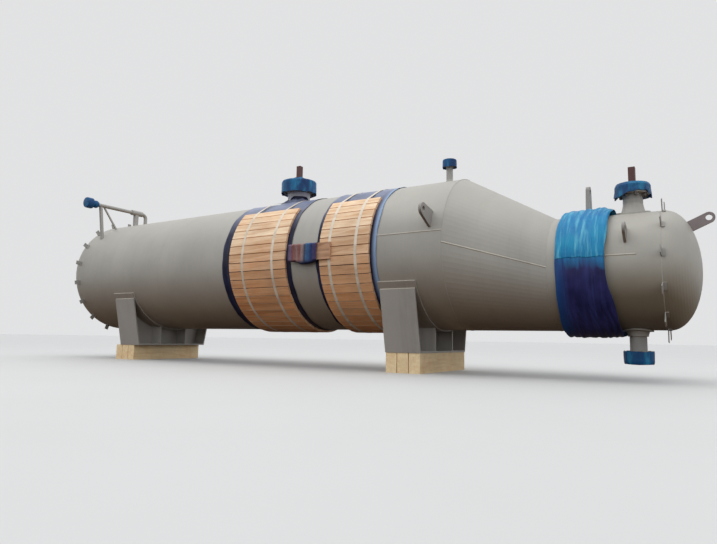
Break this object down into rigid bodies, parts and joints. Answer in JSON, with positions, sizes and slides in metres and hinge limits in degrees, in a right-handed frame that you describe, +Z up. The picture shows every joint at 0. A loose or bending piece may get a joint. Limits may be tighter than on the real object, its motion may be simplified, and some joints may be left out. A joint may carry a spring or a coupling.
{
  "type": "shell and tube heat exchanger",
  "caption": "Horizontal kettle shell with an eccentric cone, flanged channel, dished heads, flanged nozzles and saddles, in shipping dress.",
  "frame": {"origin": "on the floor under the middle of the fixed saddle, in the vessel's upright middle plane", "axes": "+X along the vessel towards the channel, +Y to the far side, +Z up"},
  "size_m": [7.4572, 1.7742, 2.2663],
  "materials": {
    "grey_paint": "semi-gloss shop coat, dusty",
    "stud_steel": "plain studs and nuts",
    "blue_tarp": "woven plastic sheet, bright blue",
    "navy_tarp": "woven plastic sheet, navy",
    "slat_wood": "rough sawn slats",
    "block_wood": "rough sawn timber",
    "red_brown": "red brown primer",
    "strap_pale": "pale binding strap",
    "board_wood": "weathered board"
  },
  "bodies": {
    "root": {"kettle_shell": "grey_paint", "rear_head": "grey_paint", "eccentric_cone": "grey_paint", "port_cylinder": "grey_paint", "shell_flange": "grey_paint", "tubesheet": "grey_paint", "channel_flange": "grey_paint", "girth_studs": "stud_steel", "channel_barrel": "grey_paint", "channel_head": "grey_paint", "tarp_lower": "navy_tarp", "tarp_upper": "blue_tarp", "top_nozzle": "grey_paint", "top_blind": "grey_paint", "top_wrap": "blue_tarp", "level_nozzle": "grey_paint", "level_blind": "grey_paint", "level_wrap": "blue_tarp", "channel_top_nozzle": "grey_paint", "channel_top_blind": "grey_paint", "channel_top_wrap": "blue_tarp", "channel_bottom_nozzle": "grey_paint", "channel_bottom_blind": "grey_paint", "channel_bottom_wrap": "blue_tarp", "nozzle_studs": "stud_steel", "nozzle_pads": "grey_paint", "purge_posts": "red_brown", "vent_pipe": "grey_paint", "vent_blind": "grey_paint", "vent_wrap": "blue_tarp", "vent_supports": "grey_paint", "fixed_saddle": "grey_paint", "sliding_saddle": "grey_paint", "wear_plates": "grey_paint", "timber_blocks": "block_wood", "shell_lugs": "grey_paint", "channel_lugs": "grey_paint", "flange_lug": "grey_paint", "pulling_lug": "grey_paint", "rear_clips": "grey_paint", "channel_clips": "grey_paint", "rear_sheet": "navy_tarp", "front_sheet": "navy_tarp", "rear_slats": "slat_wood", "front_slats": "slat_wood", "binding_straps": "strap_pale", "cover_board": "board_wood", "plate_bracket": "grey_paint"}
  },
  "joints": []
}
